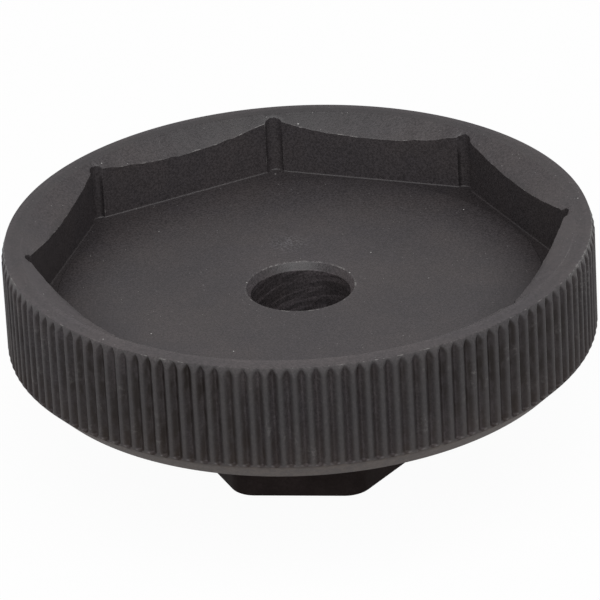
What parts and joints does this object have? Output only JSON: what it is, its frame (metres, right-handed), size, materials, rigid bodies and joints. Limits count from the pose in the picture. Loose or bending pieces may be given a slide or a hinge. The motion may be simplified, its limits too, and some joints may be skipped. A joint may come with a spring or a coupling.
{
  "type": "oil filter wrench",
  "caption": "Cap-type oil filter wrench: a shallow knurled steel cup with an octagon pocket and lead-in, on a hexagon hub with a square drive hole.",
  "frame": {"origin": "centre of the hexagon hub's end face, which the tool stands on", "axes": "+Z along the tool's axis, out of the open pocket; +X through one corner of the octagon"},
  "size_m": [0.0762, 0.0762, 0.0313],
  "materials": {
    "cap_black_oxide": "satin black oxide on machined steel",
    "hub_black_oxide": "satin black oxide on machined steel"
  },
  "bodies": {
    "root": {"knurled_cap": "cap_black_oxide", "hex_drive_hub": "hub_black_oxide"}
  },
  "joints": []
}
